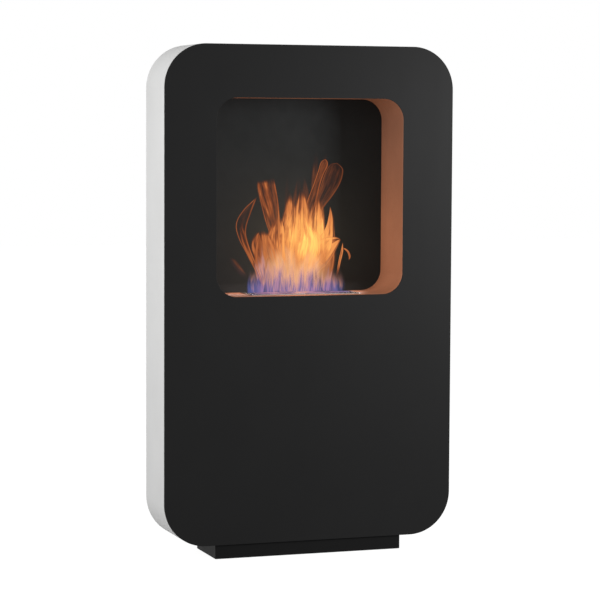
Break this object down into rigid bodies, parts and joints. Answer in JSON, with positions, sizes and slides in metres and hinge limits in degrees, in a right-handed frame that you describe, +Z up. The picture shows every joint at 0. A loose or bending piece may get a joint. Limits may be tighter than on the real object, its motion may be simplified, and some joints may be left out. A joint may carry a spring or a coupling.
{
  "type": "bioethanol fireplace",
  "caption": "Slim free-standing bioethanol fireplace: black front plate, pale rounded side band, square firebox opening, lift-out burner with a sliding shutter, low plinth.",
  "frame": {"origin": "on the floor under the middle of the housing", "axes": "+X to the right seen from the front, the front faces -Y, +Z up"},
  "size_m": [0.62, 0.138, 1.042],
  "materials": {
    "satin_black": "satin black powder coat",
    "light_grey": "satin light grey powder coat",
    "dark_grey": "matt dark grey powder coat",
    "galvanised": "zinc-coated sheet",
    "copper_brown": "satin copper-brown heat-resistant coating",
    "stove_black": "satin heat-resistant black",
    "stainless": "fine brushed stainless steel",
    "ceramic_fibre": "white ceramic wool, matt",
    "raw_steel": "oiled hot-rolled steel",
    "black_rubber": "matt rubber",
    "zinc": "bright zinc plate"
  },
  "bodies": {
    "housing": {"ballast_plate": "raw_steel", "base_plate": "raw_steel", "cross_rail": "galvanised", "fire_back": "stove_black", "firebox_liner": "copper_brown", "front_panel": "satin_black", "hanger_plate": "galvanised", "heat_shield": "galvanised", "liner_nut_1": "zinc", "liner_nut_2": "zinc", "liner_nut_3": "zinc", "liner_nut_4": "zinc", "overflow_tray": "galvanised", "panel_nut_1": "zinc", "panel_nut_2": "zinc", "panel_nut_3": "zinc", "panel_nut_4": "zinc", "panel_nut_5": "zinc", "panel_nut_6": "zinc", "panel_nut_7": "zinc", "panel_nut_8": "zinc", "plinth": "satin_black", "plinth_bolt_1": "zinc", "plinth_bolt_2": "zinc", "plinth_bolt_3": "zinc", "plinth_bolt_4": "zinc", "rear_cover": "dark_grey", "rear_cover_screw_1": "zinc", "rear_cover_screw_10": "zinc", "rear_cover_screw_2": "zinc", "rear_cover_screw_3": "zinc", "rear_cover_screw_4": "zinc", "rear_cover_screw_5": "zinc", "rear_cover_screw_6": "zinc", "rear_cover_screw_7": "zinc", "rear_cover_screw_8": "zinc", "rear_cover_screw_9": "zinc", "rubber_foot_1": "black_rubber", "rubber_foot_2": "black_rubber", "rubber_foot_3": "black_rubber", "rubber_foot_4": "black_rubber", "shield_screw_1": "zinc", "shield_screw_2": "zinc", "shield_screw_3": "zinc", "shield_screw_4": "zinc", "side_band": "light_grey", "tray_nut_1": "zinc", "tray_nut_2": "zinc"},
    "burner": {"burner_tank": "stainless", "burner_top_plate": "stainless", "ceramic_wool": "ceramic_fibre", "wool_retainer": "stainless", "shutter_guide_left": "stainless", "shutter_guide_right": "stainless"},
    "shutter": {"shutter": "stainless"}
  },
  "joints": [
    {"name": "burner_lift", "type": "slide", "parent": "housing", "child": "burner", "axis": [0, 0, 1], "range_m": [0, 0.07]},
    {"name": "shutter_slide", "type": "slide", "parent": "burner", "child": "shutter", "axis": [0, -1, 0], "range_m": [0, 0.024]}
  ]
}
